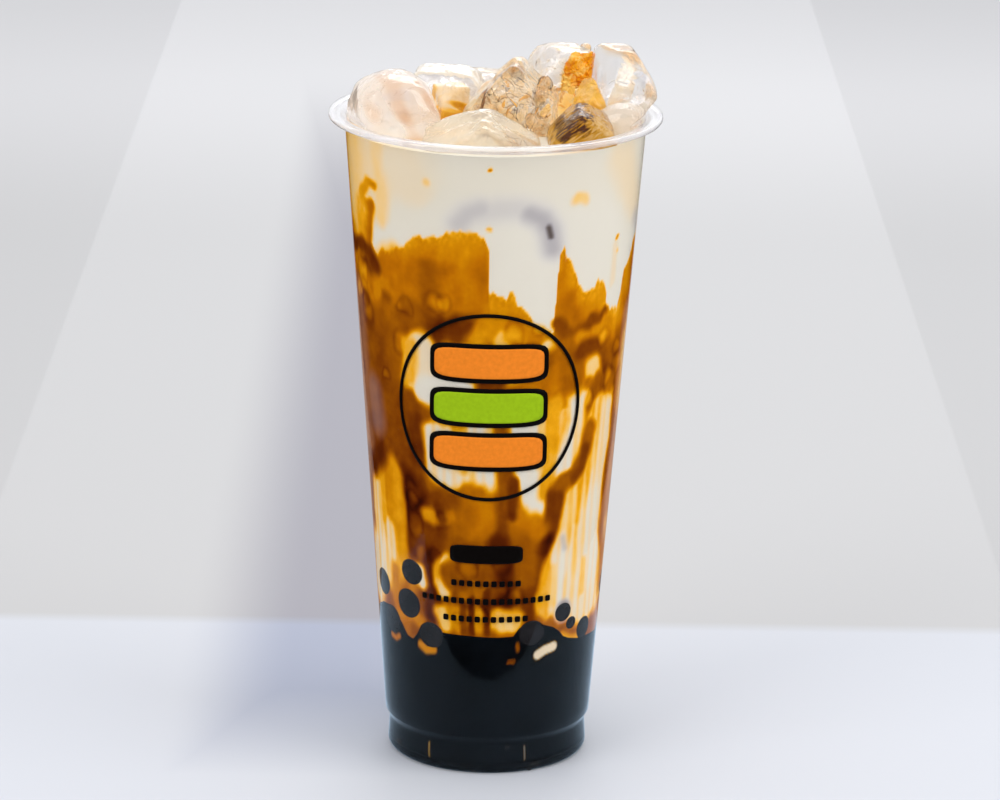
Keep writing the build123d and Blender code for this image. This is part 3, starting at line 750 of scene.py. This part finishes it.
# ---------------------------------------------------------------------------------------------
# The ice: machine-made blocks, broken and half melted, some clear and cracked, some cloudy at the
# heart, some stained by the syrup that they stirred up. They float in the milk over the brim.
ICE = {
    # node: size, turns, sharpness of the edges, depth of the dents, finish, breaks (facing, distance)
    "ice_left": (
        (22, 21, 23), (0, 0, 12), 4.2, 0.007, "cloudy", (((1, -0.2, 0.9), 12), ((-1, 0, 1), 13)),
    ),
    "ice_centre": (
        (23, 19, 26), (0, 0, -10), 26, 0.016, "clear",
        (((-1, -0.1, 0.9), 8.3), ((1, 0, 0.9), 10.4), ((0.2, -1, 1), 12.6), ((-0.4, -1, -0.1), 9),
         ((0.9, -0.8, -0.3), 10.4), ((-0.7, 0.6, 1), 12)),
    ),
    "ice_right_tall": (
        (13, 16, 23.5), (0, 0, 12), 11, 0.008, "glassy",
        (((1, -0.1, 0.5), 7.4), ((-1, -0.3, 0.42), 7.2), ((0.3, -1, 0.7), 9.6)),
    ),
    "ice_front": (
        (32, 12, 11.5), (0, 0, 2), 18, 0.010, "milky",
        (((-0.34, -0.35, 1), 4.4), ((0.44, -0.3, 1), 4.6), ((-1, -0.9, 0.3), 13)),
    ),
    "ice_dome": (
        (17, 13, 13), (0, 0, 4), 9, 0.006, "brown", (((-0.85, -0.1, 1), 5.4), ((0.62, -0.2, 1), 5.6)),
    ),
    "ice_back_right": (
        (16, 14, 24), (0, 0, 10), 8, 0.014, "stained", (((-1, -0.3, 0.6), 8.4), ((0.2, 0, 1), 11)),
    ),
    "ice_back_left": ((19, 13, 17), (0, 0, -8), 7, 0.008, "pale", (((1, 0, 1), 10.8),)),
    "ice_right_low": ((12, 11, 12), (0, 0, -20), 3.2, 0.010, "pale", (((-1, 0, 1), 7.5),)),
    "ice_small_right": (
        (8, 8, 16), (0, 0, 20), 22, 0.016, "amber", (((-0.9, -0.2, 0.5), 3.2), ((0.9, -0.2, 0.4), 4.6)),
    ),
    "ice_small_left": ((8, 8, 14), (0, 0, 20), 16, 0.010, "amber", (((-0.8, -0.6, 1), 6),)),
    "ice_back": ((18, 12, 14), (-5, 3, 8), 9, 0.010, "pale", (((0.3, 1, 1), 9),)),
    "ice_back_corner": ((14, 12, 14), (5, 6, 40), 9, 0.012, "stained", (((1, 1, 1), 10),)),
    "ice_far_left": ((13, 12, 13), (4, -6, -35), 7, 0.010, "pale", (((-1, 0.5, 1), 9),)),
}
# Small lumps frozen to a block: node, middle as shares of its box, size, turns, depth of the dents,
# finish and amount of stain
LUMPS = (
    ("ice_centre", (0.80, 0.12, 0.74), (4.4, 3.0, 9.0), (0, 22, 0), 0.03, "clear", 0.4),
    ("ice_centre", (0.84, 0.06, 0.56), (1.8, 1.8, 3.4), (0, 34, 0), 0.05, "amber", 0.3),
    ("ice_centre", (0.78, 0.02, 0.40), (9.0, 3.0, 4.6), (0, 38, 0), 0.03, "clear", 0.3),
    ("ice_centre", (0.30, 0.06, 0.38), (12.0, 4.0, 6.0), (0, 30, 0), 0.03, "smoky", 0.3),
    ("ice_back_right", (0.72, 0.16, 0.80), (7.0, 5.0, 6.5), (0, -14, 0), 0.07, "orange", 0.5),
    ("ice_back_right", (0.88, 0.18, 0.84), (5.0, 4.0, 8.0), (0, 20, 0), 0.08, "orange", 0.7),
    ("ice_back_right", (0.84, 0.14, 0.66), (6.0, 4.0, 5.0), (0, 40, 0), 0.07, "orange", 0.6),
    ("ice_back_right", (0.62, 0.12, 0.64), (5.0, 3.0, 5.0), (0, -30, 0), 0.06, "orange", 0.0),
    ("ice_back_right", (0.82, 0.25, 1.0), (3.0, 2.6, 2.6), (0, 0, 0), 0.01, "clear", 0.1),
)
# Where a block is stained: the facing of a patch's middle, its reach in degrees and its amount
STAINS = {
    "ice_left": (0.28, ((-0.35, -1, -0.2), 32, 0.0), ((0.75, -0.8, 0.1), 14, 1.0),
                 ((0, -0.5, 1), 20, 0.75), ((1, -0.3, -0.1), 6, 0.2), ((0.5, -1, -0.6), 8, 0.7)),
    "ice_centre": (0.2, ((-0.6, -0.8, 0), 22, 0.8), ((0.1, -1, -0.2), 26, 0.6), ((0, -0.3, 1), 8, 0.9)),
    "ice_right_tall": (0.05, ((0.05, -0.2, 1), 5, 0.9), ((-0.6, -0.8, -0.7), 20, 0.45),
                       ((1, -0.5, 0.2), 8, 0.3)),
    "ice_front": (0.12, ((0.8, -0.6, 0), 20, 0.7), ((0.3, -0.6, 0.7), 10, 0.5)),
    "ice_dome": (0.42, ((-0.5, -0.5, 0.9), 34, 1.0), ((0.9, -0.6, 0.2), 12, 0.05)),
    "ice_back_right": (0.06, ((0.8, -0.7, 0.2), 30, 0.75), ((0.3, -0.7, -0.4), 20, 0.6)),
    "ice_back_left": (0.05, ((0.8, -0.6, -0.3), 20, 0.5)),
    "ice_small_left": (0.62, ((0.1, -0.6, 0.9), 40, 0.0), ((0, -1, -0.7), 44, 1.0)),
    "ice_small_right": (0.55, ((-0.6, -0.6, 0.3), 12, 0.8), ((0.2, -1, -0.4), 20, 0.75)),
    "ice_back_corner": (0.3, ((1, -0.3, 0), 30, 0.0)),
}

# A mottle shifts how much syrup is in the ice, and the colour goes from plain to stained to deep
stain, given, result, add = new_group(
    "syrup_stain",
    {"Amount": "Float", "Scale": "Float", "Mottle": "Float", "Stretch": "Vector",
     "Plain": "Color", "Stain": "Color", "Deep": "Color"},
    {"Color": "Color", "Height": "Float"},
)
sockets = {"Vector": own_place(add), "Rotation": (0, math.radians(-35), 0), "Scale": given["Stretch"]}
turned_to = add("ShaderNodeMapping", sockets, vector_type="TEXTURE")
patches = noise(add, given["Scale"], 5.0, 0.8, turned_to.outputs[0])
centred = maths(add, "SUBTRACT", patches, 0.5)
spread = maths(add, "MULTIPLY_ADD", centred, given["Mottle"], given["Amount"])
stained = mixed(add, ranged(add, spread, high=0.5), given["Plain"], given["Stain"])
join(mixed(add, ranged(add, spread, low=0.5), stained, given["Deep"]), result["Color"])
join(noise(add, 150.0, 3.0, 1.5), result["Height"])

# finish: transmission, roughness, bump, scale of the mottle, how much it shifts the stain, how it is
# stretched, then the plain, stained and deep colours
EVEN = (1, 1, 1)
DENT = 0.0012
ICE_FINISHES = {
    "clear": (0.97, 0.01, 0.9, 190, 2.2, EVEN, (253, 252, 251), (240, 214, 170), (160, 108, 50)),
    "smoky": (0.60, 0.05, 0.9, 160, 1.6, EVEN, (206, 190, 174), (170, 148, 132), (104, 84, 74)),
    "glassy": (0.9, 0.03, 0.35, 70, 0.4, EVEN, (250, 250, 251), (248, 230, 206), (232, 170, 96)),
    "cloudy": (0.72, 0.05, 0.25, 60, 0.5, EVEN, (248, 246, 246), (242, 222, 206), (226, 176, 138)),
    "pale": (0.85, 0.04, 0.4, 60, 0.5, EVEN, (246, 244, 243), (246, 230, 206), (242, 196, 130)),
    "milky": (0.66, 0.06, 0.6, 80, 0.8, (1, 1, 2.5), (240, 231, 214), (230, 212, 184), (200, 168, 134)),
    "amber": (0.45, 0.03, 0.9, 150, 1.1, EVEN, (253, 240, 212), (253, 202, 74), (212, 142, 6)),
    "orange": (0.25, 0.06, 0.9, 300, 3.0, EVEN, (255, 220, 120), (253, 178, 20), (214, 118, 6)),
    "brown": (0.30, 0.12, 0.3, 1700, 2.4, (11, 1, 1), (214, 178, 112), (200, 144, 22), (74, 40, 12)),
    "stained": (0.80, 0.04, 0.5, 110, 1.1, EVEN, (246, 243, 240), (254, 216, 124), (242, 164, 22)),
}
ice_materials = {}
for finish, values in ICE_FINISHES.items():
    through, rough, bump_by, scale, mottle, stretch, *colours = values
    values = {"Transmission Weight": through, "Roughness": rough, "IOR": 1.31,
              "Coat Weight": 0.6 if through > 0.4 else 0.1, "Coat Roughness": 0.04}
    material, shader, add = new_material(f"ice_{finish}", values)
    sockets = {"Amount": own(add, "stain"), "Scale": scale, "Mottle": mottle, "Stretch": stretch}
    sockets |= zip(("Plain", "Stain", "Deep"), (linear(colour) for colour in colours))
    look = add("ShaderNodeGroup", sockets, node_tree=stain)
    sockets = {"Height": look.outputs["Height"], "Strength": bump_by, "Distance": DENT}
    bump = add("ShaderNodeBump", sockets)
    join(look.outputs["Color"], shader.inputs["Base Color"])
    join(bump.outputs["Normal"], shader.inputs["Normal"])
    lets_lamps_through(material, shader, add)
    ice_materials[finish] = material


def turn_by(turns):
    """Rotation about X, then Y, then Z, as one matrix."""
    x, y, z = np.radians(turns)
    about_x = np.array([[1, 0, 0], [0, np.cos(x), -np.sin(x)], [0, np.sin(x), np.cos(x)]])
    about_y = np.array([[np.cos(y), 0, np.sin(y)], [0, 1, 0], [-np.sin(y), 0, np.cos(y)]])
    about_z = np.array([[np.cos(z), -np.sin(z), 0], [np.sin(z), np.cos(z), 0], [0, 0, 1]])
    return about_x @ about_y @ about_z


LONG_WAVES = 12
SHORT_WAVES = 14


def ice_block(size, turns, sharp, depth, breaks, seed):
    """A block with melted edges, about the origin: along each direction the surface lies where the
    faces' shares, each max(0, n.d / h) to the power sharp, add up to 1. The faces are the block's
    six and its breaks. Long and short waves dent it."""
    way = ball_ways(np.linspace(1.2, 178.8, 80), 2.25)
    rng = np.random.default_rng(seed)
    half = np.array(size) / 2
    faces = [(axis * sign, length) for axis, length in zip(np.eye(3), half) for sign in (1, -1)]
    faces += [(np.array(facing) / np.linalg.norm(facing), distance) for facing, distance in breaks]
    total = sum(np.maximum(0, way @ normal / distance) ** sharp for normal, distance in faces)
    dent = np.zeros(total.shape)
    for wave in range(LONG_WAVES + SHORT_WAVES):
        along = rng.normal(size=3)
        fine = wave >= LONG_WAVES
        shift = rng.uniform(0, 6.28)
        swing = np.sin(way @ along * rng.uniform(1.5, 7) * (2.6 if fine else 1) + shift)
        dent += swing * (depth * (0.3 if fine else 1))
    points = way * (total ** (-1 / sharp) * (1 + dent))[..., None]
    return points @ turn_by(turns).T


def stain_amount(points, start, patches, seed):
    """How much syrup has soaked into each point of a block: the block's own amount, then its
    patches, each full within its reach of the way it faces and gone 25 degrees further out."""
    flat = points.reshape(-1, 3)
    way = points - (flat.min(0) + flat.max(0)) / 2
    way /= np.linalg.norm(way, axis=-1, keepdims=True)
    rng = np.random.default_rng(seed)
    ragged = sum(9 * np.sin(way @ rng.normal(size=3) * 4 + rng.uniform(0, 6)) for _ in range(5))
    field = np.full(points.shape[:2], float(start))
    for facing, reach, amount in patches:
        toward = np.array(facing) / np.linalg.norm(facing)
        apart = np.degrees(np.arccos(np.clip(way @ toward, -1, 1)))
        field += smooth(1 - (apart + ragged - reach) / 25) * (amount - field)
    return field


def box_in_mm(node):
    """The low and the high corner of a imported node, in mm."""
    return [np.array(corner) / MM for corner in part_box(node)]


# A block stays this far off the wall, and over the lip it may reach out by a share of the height
OFF_WALL = 0.4
LIP_INSIDE_Z = 178.0
LEAN_OUT = 0.8
blocks = {}
for seed, (node, (size, turns, sharp, depth, finish, breaks)) in enumerate(ICE.items()):
    points = ice_block(size, turns, sharp, depth, breaks, seed)
    flat = points.reshape(-1, 3)
    low, high = box_in_mm(node)
    points = low + (points - flat.min(0)) / (flat.max(0) - flat.min(0)) * (high - low)
    reach = np.hypot(points[..., 0], points[..., 1])
    room = space_inside(np.minimum(points[..., 2], LIP_INSIDE_Z)) - OFF_WALL
    room = room + LEAN_OUT * np.maximum(0, points[..., 2] - CUP_HEIGHT)
    points[..., :2] *= np.minimum(1, room / reach)[..., None]
    blocks[node] = points
    start, *patches = STAINS.get(node, (0.1,))
    field = stain_amount(points, start, patches, seed)
    piece(f"{node}_look", [points], [ice_materials[finish]], "ice", [node], stain=[field])


def flaw(middle, facing, reach, slim, seed):
    """A crack inside the ice: a thin, crumpled leaf. Rings from its middle to a ragged edge and
    back, raised off its plane by waves, a twentieth of a millimetre thick."""
    rng = np.random.default_rng(seed)
    turn = np.radians(np.arange(0, 360, 12))
    edge = reach * (1 + 0.35 * np.sin(2 * turn + rng.uniform(0, 6)) + 0.2 * np.sin(5 * turn))
    shares = np.array([0.05, 0.35, 0.7, 1.0, 1.0, 0.7, 0.35, 0.05])
    thick = np.array([1, 1, 1, 0.4, -0.4, -1, -1, -1]) * 0.025
    facing = np.array(facing, float) / np.linalg.norm(facing)
    side = np.cross(facing, rng.normal(size=3))
    side /= np.linalg.norm(side)
    other = np.cross(facing, side)
    u = shares[:, None] * edge * np.cos(turn)
    v = shares[:, None] * edge * np.sin(turn) * rng.uniform(0.5, 1) * slim
    rise = 0.5 * np.sin(u * 1.1 + rng.uniform(0, 6)) + 0.4 * np.sin(v * 1.7 + rng.uniform(0, 6))
    rise = rise + thick[:, None]
    return np.asarray(middle) + u[..., None] * side + v[..., None] * other + rise[..., None] * facing


def held_inside(leaf, block):
    """A crack kept inside its block. Seen from the block's middle, a point that lies past 0.8 of the
    way to the surface is drawn in smoothly, so that none gets past 0.97 of it."""
    flat = block.reshape(-1, 3)
    middle = (flat.min(0) + flat.max(0)) / 2
    surface = np.linalg.norm(flat - middle, axis=1)
    ways = (flat - middle) / surface[:, None]
    out = leaf.reshape(-1, 3) - middle
    far = np.linalg.norm(out, axis=1)
    share = far / surface[np.argmax((out / far[:, None]) @ ways.T, axis=1)]
    held = np.where(share > 0.8, 0.8 + 0.17 * (1 - np.exp(-(share - 0.8) / 0.17)), share)
    return (middle + out * (held / share)[:, None]).reshape(leaf.shape)


# Leaves of crack inside some blocks: node, tone, how many, least and most reach, how slim, and
# between which shares of the block's box their middles lie
FLAWS = (
    ("ice_centre", "white", 8, 1.0, 3.2, 0.8, (0.2, 0.1, 0.45), (0.85, 0.6, 0.95)),
    ("ice_centre", "tan", 60, 0.8, 3.0, 0.14, (0.10, 0.0, 0.15), (0.92, 0.3, 0.9)),
    ("ice_centre", "dark", 70, 0.5, 2.8, 0.09, (0.10, 0.0, 0.15), (0.95, 0.25, 0.9)),
    ("ice_centre", "gold", 46, 0.5, 2.0, 0.26, (0.10, 0.0, 0.15), (0.95, 0.3, 0.8)),
    ("ice_left", "tan", 8, 1.0, 3.0, 0.08, (0.3, 0.02, 0.5), (0.8, 0.2, 0.95)),
    ("ice_front", "tan", 16, 1.0, 3.4, 0.08, (0.5, 0.02, 0.3), (0.95, 0.4, 0.8)),
    ("ice_right_tall", "white", 5, 1.0, 2.6, 0.8, (0.3, 0.2, 0.3), (0.7, 0.7, 0.8)),
    ("ice_right_tall", "tan", 8, 0.6, 1.8, 0.1, (0.3, 0.05, 0.45), (0.8, 0.4, 0.9)),
    ("ice_back_right", "gold", 14, 1.0, 2.6, 0.5, (0.45, 0.05, 0.3), (0.95, 0.4, 0.9)),
    ("ice_back_right", "dark", 16, 0.4, 1.4, 0.14, (0.6, 0.02, 0.55), (0.95, 0.2, 0.95)),
    ("ice_back_right", "white", 4, 1.0, 3.0, 0.8, (0.2, 0.2, 0.6), (0.7, 0.8, 0.95)),
    ("ice_small_right", "gold", 10, 0.8, 2.0, 0.4, (0.2, 0.05, 0.3), (0.8, 0.6, 0.95)),
    ("ice_small_right", "white", 8, 0.5, 1.6, 0.12, (0.2, 0.02, 0.3), (0.8, 0.4, 0.95)),
)
FLAW_COLOURS = {
    "white": (246, 246, 248), "tan": (184, 144, 96), "dark": (78, 48, 26), "gold": (244, 182, 48),
}
flaw_materials = {}
for tone, colour in FLAW_COLOURS.items():
    values = {"Base Color": linear(colour), "Roughness": 0.2}
    material, shader, add = new_material(f"flaw_{tone}", values)
    join(ranged(add, noise(add, 500.0, 2.0), 0.35, 0.65, 0.25, 0.95), shader.inputs["Alpha"])
    flaw_materials[tone] = material
for number, (node, tone, count, least, most, slim, from_share, to_share) in enumerate(FLAWS):
    rng = np.random.default_rng(100 + number)
    low, high = box_in_mm(node)
    leaves = []
    for leaf in range(count):
        middle = low + rng.uniform(from_share, to_share) * (high - low)
        reach = rng.uniform(least, most)
        crack = flaw(middle, rng.normal(size=3), reach, slim, 100 * number + leaf)
        leaves.append(held_inside(crack, blocks[node]))
    piece(f"{node}_{tone}_cracks", leaves, [flaw_materials[tone]], "ice")

for seed, (node, place, size, turns, depth, finish, start) in enumerate(LUMPS):
    low, high = box_in_mm(node)
    points = ice_block(size, turns, 2.4, depth, (), 40 + seed) + low + place * (high - low)
    field = stain_amount(points, start, (), seed)
    piece(f"{node}_lump_{seed}", [points], [ice_materials[finish]], "ice", stain=[field])

# ---------------------------------------------------------------------------------------------
# The print: thin layers of ink on the outside of the wall. A plain black ring round three equal
# stripes in orange and green, and under it a bar and three dashed lines, all on one middle line.
INKS = {"black": (9, 6, 5), "orange": (214, 118, 32), "green": (136, 168, 20)}
# How far a layer stands off the wall, and reaches into it
INK = 0.05
inks = {}
for name, colour in INKS.items():
    material, shader, add = new_material(f"ink_{name}", {"Roughness": 0.4, "IOR": 1.1})
    paler = [min(255, c * 1.12 + 4) for c in colour]
    ink = mixed(add, noise(add, 900.0, 2.0), linear(colour), linear(paler))
    join(ink, shader.inputs["Base Color"])
    inks[name] = material


def on_wall(x, z, lift):
    """A point x mm round the wall from the front and z up, lifted off it: its angle is x over the
    radius there."""
    radius = wall_outside(z)
    return np.stack([
        (radius + lift) * np.sin(x / radius), -(radius + lift) * np.cos(x / radius),
        np.broadcast_to(z, x.shape),
    ], -1)


def ink_loop(x, z, width):
    """A printed line along a closed path: its cross-section is a flat box, carried along the path,
    square at each point to the run between the two points beside it."""
    dx, dz = (np.roll(v, -1) - np.roll(v, 1) for v in (x, z))
    length = np.hypot(dx, dz)
    side_x, side_z = -dz / length * width / 2, dx / length * width / 2
    edges = [(1, -INK), (1, INK), (-1, INK), (-1, -INK)]
    return np.stack([on_wall(x + s * side_x, z + s * side_z, lift) for s, lift in edges])


def ink_patch(x, z, half_w, half_h, square=6, lift=INK):
    """A printed patch: a superellipse of the given halves, |x/w|^n + |z/h|^n = 1, as rings from its
    middle out to the edge, and back over the top."""
    t = np.radians(np.arange(0, 360, 6))
    c, s = np.cos(t), np.sin(t)
    reach = (np.abs(c) ** square + np.abs(s) ** square) ** (-1 / square)
    px, pz = half_w * reach * c, half_h * reach * s
    shares = np.linspace(0.05, 1, 3 + int(half_w / 2))
    under = [on_wall(x + k * px, z + k * pz, -INK) for k in shares]
    over = [on_wall(x + k * px, z + k * pz, lift) for k in shares[::-1]]
    return np.stack(under + over)


RING_Z = 107.0
RING_RADIUS = 26.0
RING_WIDTH = 1.0
PRINT_ANGLE = -1.3
PRINT_X = math.radians(PRINT_ANGLE) * wall_outside(RING_Z)
STRIPE_HALF_LENGTH = 15.0
STRIPE_HALF_HEIGHT = 4.2
OUTLINE = 1.3
# Stripes in the ring: ink, and how far above the ring's middle
STRIPES = (("orange", 12.5), ("green", 0), ("orange", -12.5))
BAR_Z = 65.0
BAR_HALVES = (10.0, 2.6)
# Dashed lines: height, how many dashes
DASHED_LINES = ((56.5, 9), (51.3, 17), (46.1, 11))
DASH_PITCH = 2.2
DASH_HALVES = (0.75, 0.85)
turn = np.radians(np.arange(0, 360, 2))
ring_x = PRINT_X + RING_RADIUS * np.cos(turn)
ring = ink_loop(ring_x, RING_Z + RING_RADIUS * np.sin(turn), RING_WIDTH)
piece("print_ring", [ring], [inks["black"]], "clear_plastic", rows_join=True)
inner = (STRIPE_HALF_LENGTH, STRIPE_HALF_HEIGHT)
outer = (STRIPE_HALF_LENGTH + OUTLINE, STRIPE_HALF_HEIGHT + OUTLINE)
outlines = [ink_patch(PRINT_X, RING_Z + above, *outer) for _, above in STRIPES]
bar = ink_patch(PRINT_X, BAR_Z, *BAR_HALVES)
piece("print_black", [*outlines, bar], [inks["black"]], "clear_plastic")
dashes = [
    ink_patch(PRINT_X + DASH_PITCH * (number - (count - 1) / 2), z, *DASH_HALVES, square=5)
    for z, count in DASHED_LINES for number in range(count)
]
piece("print_dashes", dashes, [inks["black"]], "clear_plastic")
for name in ("orange", "green"):
    fills = [
        ink_patch(PRINT_X, RING_Z + above, *inner, lift=2 * INK)
        for ink, above in STRIPES if ink == name
    ]
    piece(f"print_{name}", fills, [inks[name]], "clear_plastic")

# Drops of water that have run down to the foot, each a squashed ball half sunk in the wall: angle,
# height and radius
DROPS = (
    (29, 1.9, 1.3), (26, 1.0, 0.9), (12, 7.9, 0.9), (-8, 0.9, 0.6), (-62, 4.0, 0.8), (150, 3.0, 1.1),
)
drops = []
for number, (drop_angle, drop_z, radius) in enumerate(DROPS):
    size = (2 * radius, 1.5 * radius, 1.6 * radius)
    ball = ice_block(size, (0, 0, drop_angle), 2, 0.01, (), number)
    a = math.radians(drop_angle)
    out = np.interp(
        drop_z, (0, FOOT_ROUND, NECK_Z, SHOULDER_Z), (26.4, FOOT_RADIUS, 27.2, SHOULDER_RADIUS)
    )
    drops.append(ball + [out * math.sin(a), -out * math.cos(a), drop_z])
piece("water_drops", drops, [clear_wall], "clear_plastic")

# ---------------------------------------------------------------------------------------------
# The stage: a pale floor that runs up to a paler wall line, a black card that darkens what the foot
# mirrors, soft lamps and the camera. All of it is in metres.
def sheet(name, boxes, z, values):
    """A flat sheet at a height, one quad for each box (x0, y0, x1, y1), with a material of its own."""
    mesh = bpy.data.meshes.new(name)
    corners = []
    for x0, y0, x1, y1 in boxes:
        corners += [(x0, y0, z), (x1, y0, z), (x1, y1, z), (x0, y1, z)]
    quads = np.arange(len(corners)).reshape(-1, 4).tolist()
    mesh.from_pydata(corners, [], quads)
    material, shader, add = new_material(name, values)
    mesh.materials.append(material)
    return in_scene(name, mesh), shader, add


floor, shader, add = sheet("floor", ((-6, -6, 6, 6),), 0, {"Roughness": 0.6, "IOR": 1.2})
axes = add("ShaderNodeSeparateXYZ", {"Vector": own_place(add)}).outputs
eased = {"interpolation_type": "SMOOTHSTEP"}
# The wall line runs across behind the cup and fades out to both sides.
back = ranged(add, axes["Y"], 0.096, 0.104)
off_side = maths(add, "MULTIPLY_ADD", axes["Y"], -0.12, maths(add, "ABSOLUTE", axes["X"]))
wall_line = maths(add, "MULTIPLY", back, ranged(add, off_side, 0.2, 0.6, 1, 0, **eased))
# The cup's soft shade lies behind and to the left of it, and is gone in these four directions.
to_left = ranged(add, axes["X"], -0.092, -0.056, 1, 0, **eased)
to_right = ranged(add, axes["X"], -0.04, 0.03, **eased)
far_off = ranged(add, axes["Y"], 0.55, 0.9, **eased)
in_front = ranged(add, axes["Y"], 0.04, -0.03)
across = maths(add, "MAXIMUM", to_left, to_right)
away = maths(add, "MAXIMUM", across, maths(add, "MAXIMUM", in_front, far_off))
lit = mixed(add, far_off, linear((190, 190, 191)), linear((208, 208, 210)))
near = mixed(add, away, linear((162, 168, 186)), linear((202, 205, 212)))
far = mixed(add, away, linear((156, 155, 163)), lit)
tone = mixed(add, wall_line, near, far)
# In the cup's reflections the floor is darker, and bluer near the cup than behind it.
path = add("ShaderNodeLightPath").outputs
mirrored = maths(
    add, "SUBTRACT", path["Is Glossy Ray"], path["Is Transmission Ray"], use_clamp=True
)
in_mirror = mixed(add, back, (0.54, 0.72, 0.92, 1), (0.30, 0.23, 0.19, 1))
join(mixed(add, mirrored, tone, in_mirror), shader.inputs["Base Color"])

# The card is seen only in reflections. It lies 0.4 mm over the floor, one part of it in front of the
# cup and one to each side.
CARD_Z = 0.0004
FRONT_EDGE = -0.081
SIDE_EDGE = 0.16
CARDS = (
    (-3, -3, 3, FRONT_EDGE), (-3, FRONT_EDGE, -SIDE_EDGE, 3), (SIDE_EDGE, FRONT_EDGE, 3, 3),
)
black = {"Base Color": (0, 0, 0, 1), "Specular IOR Level": 0.0}
card, shader, add = sheet("dark_card", CARDS, CARD_Z, black)
for kind in ("camera", "diffuse", "shadow", "transmission", "volume_scatter"):
    setattr(card, f"visible_{kind}", False)

world = bpy.data.worlds.new("pale_room")
bpy.context.scene.world = world
world.use_nodes = True
background = world.node_tree.nodes["Background"]
background.inputs["Color"].default_value = (0.94, 0.945, 0.96, 1)
background.inputs["Strength"].default_value = 1.07


def lamp(name, place, aim, size, watts, colour):
    """A soft square lamp that looks from its place to its aim."""
    data = bpy.data.lights.new(name, "AREA")
    data.size = size
    data.energy = watts
    data.color = colour
    obj = in_scene(name, data)
    obj.location = place
    obj.rotation_euler = (Vector(aim) - Vector(place)).to_track_quat("-Z", "Y").to_euler()


lamp("key", (-0.8, -0.7, 0.9), (0, 0, 0.1), 0.7, 4.4, (1, 0.985, 0.965))
lamp("fill", (1.0, -0.4, 0.7), (0, 0, 0.1), 0.8, 4.8, (0.99, 0.99, 1))
lamp("rim", (0.1, 0.8, 0.7), (0, 0, 0.15), 0.5, 2.0, (1, 1, 1))

# The camera's turn to the right, dip and roll in degrees, and its place
CAMERA_TURNS = (0.112, 16.18, 0.885)
CAMERA_PLACE = (0, -1.184, 0.4427)
yaw, dip, roll = (math.radians(v) for v in CAMERA_TURNS)
forward = np.array([math.sin(yaw) * math.cos(dip), math.cos(yaw) * math.cos(dip), -math.sin(dip)])
level = np.array([math.cos(yaw), -math.sin(yaw), 0])
upright = np.cross(level, forward)
right = math.cos(roll) * level + math.sin(roll) * upright
up = math.cos(roll) * upright - math.sin(roll) * level
camera_data = bpy.data.cameras.new("camera")
camera_data.lens = 162
camera_data.sensor_width = 36
camera = in_scene("camera", camera_data)
matrix = np.eye(4)
matrix[:3] = np.stack([right, up, -forward, CAMERA_PLACE], 1)
camera.matrix_world = [list(row) for row in matrix.T]
bpy.context.scene.camera = camera
bpy.context.scene.view_settings.view_transform = "Standard"
